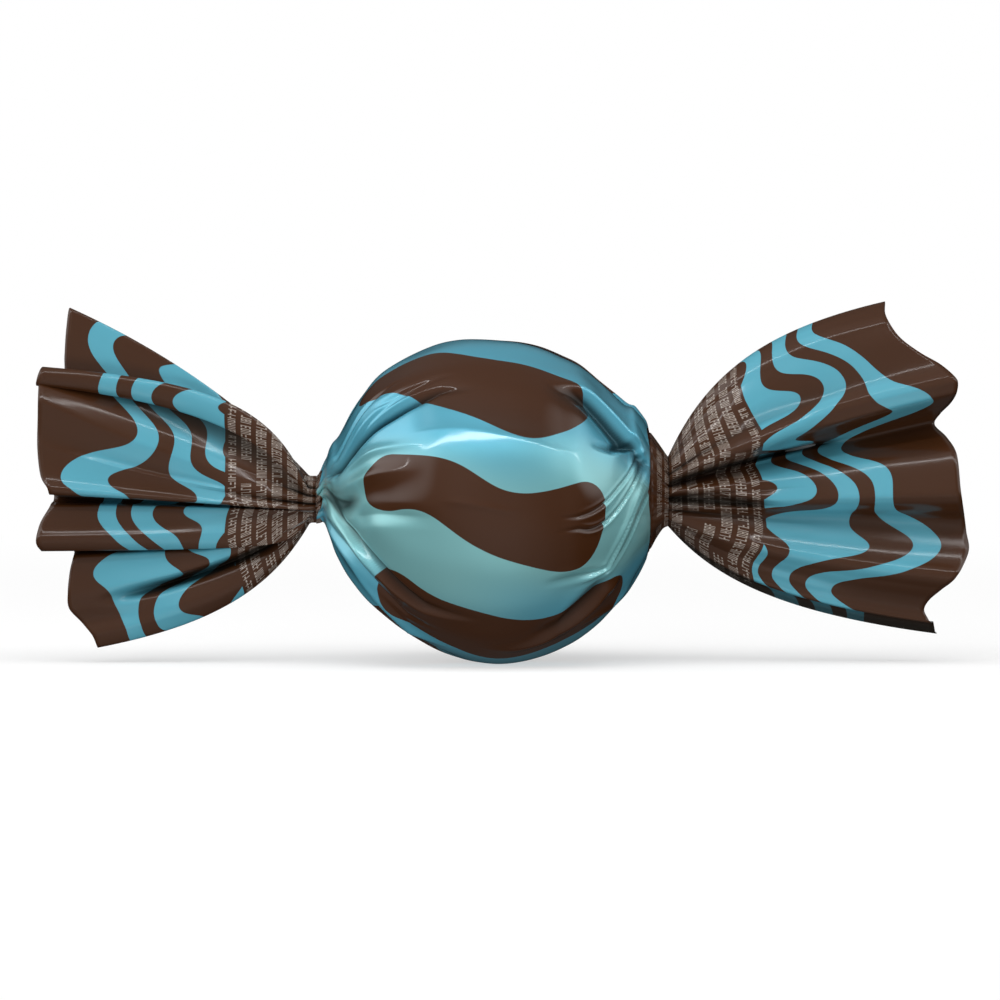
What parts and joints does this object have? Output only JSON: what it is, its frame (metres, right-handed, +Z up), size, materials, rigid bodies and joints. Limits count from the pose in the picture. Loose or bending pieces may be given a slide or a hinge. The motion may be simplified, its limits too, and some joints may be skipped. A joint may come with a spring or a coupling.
{
  "type": "twist wrapped chocolate truffle",
  "caption": "Round chocolate truffle in a brown and turquoise film wrapper, twisted shut at each side of the ball into a flat pleated tail.",
  "frame": {"origin": "middle of the small flat foot under the ball, on the surface that the truffle rests on", "axes": "+X along the wrapper towards the wider tail, -Y out of the printed front, +Z up"},
  "size_m": [0.1057, 0.0372, 0.0413],
  "materials": {
    "wrapper_film": "glossy printed film, dark brown with turquoise bands, slightly pearly on the ball"
  },
  "bodies": {
    "root": {"wrapped_truffle": "wrapper_film"}
  },
  "joints": []
}
